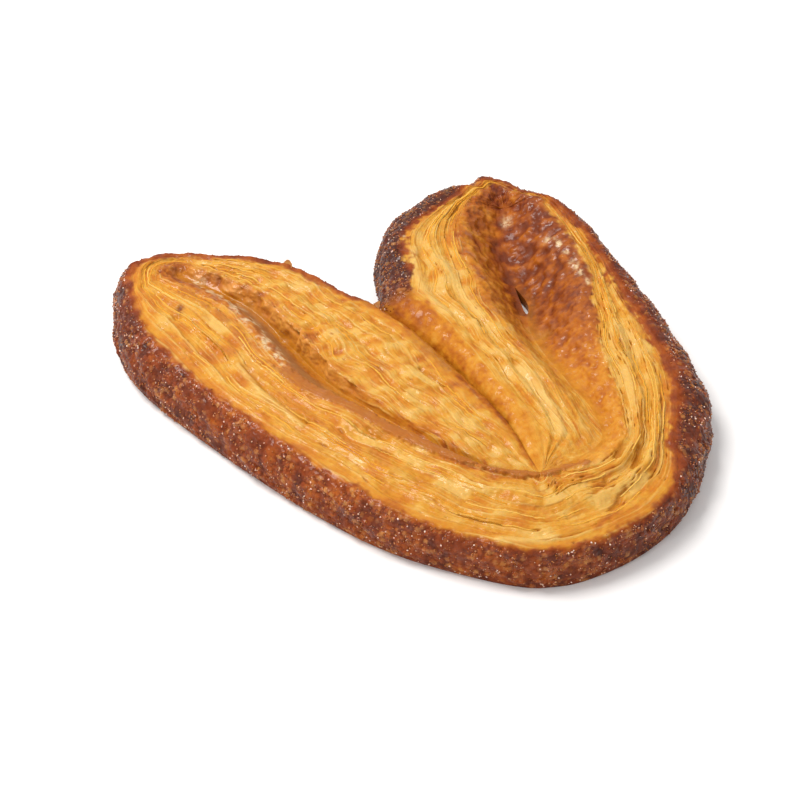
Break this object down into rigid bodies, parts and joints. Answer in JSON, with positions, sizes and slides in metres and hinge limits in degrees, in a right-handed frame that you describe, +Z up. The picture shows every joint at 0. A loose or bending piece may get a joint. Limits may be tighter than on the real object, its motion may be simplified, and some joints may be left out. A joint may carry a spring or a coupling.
{
  "type": "palmier",
  "caption": "Large baked palmier: a band of flaky dough folded into a lopsided heart with sugared crust, open layers on top and a notch between its lobes",
  "frame": {"origin": "middle of the bounding box at the flat underside", "axes": "+Z up from the underside to the cut layers, -Y to the tip where the two lobes join, +X to the right lobe"},
  "size_m": [0.1324, 0.151, 0.0156],
  "materials": {
    "baked_dough": "baked puff pastry: golden cut layers on top, glossy brown caramelised sugar crust round the sides and in the folds"
  },
  "bodies": {
    "root": {"palmier": "baked_dough"}
  },
  "joints": []
}
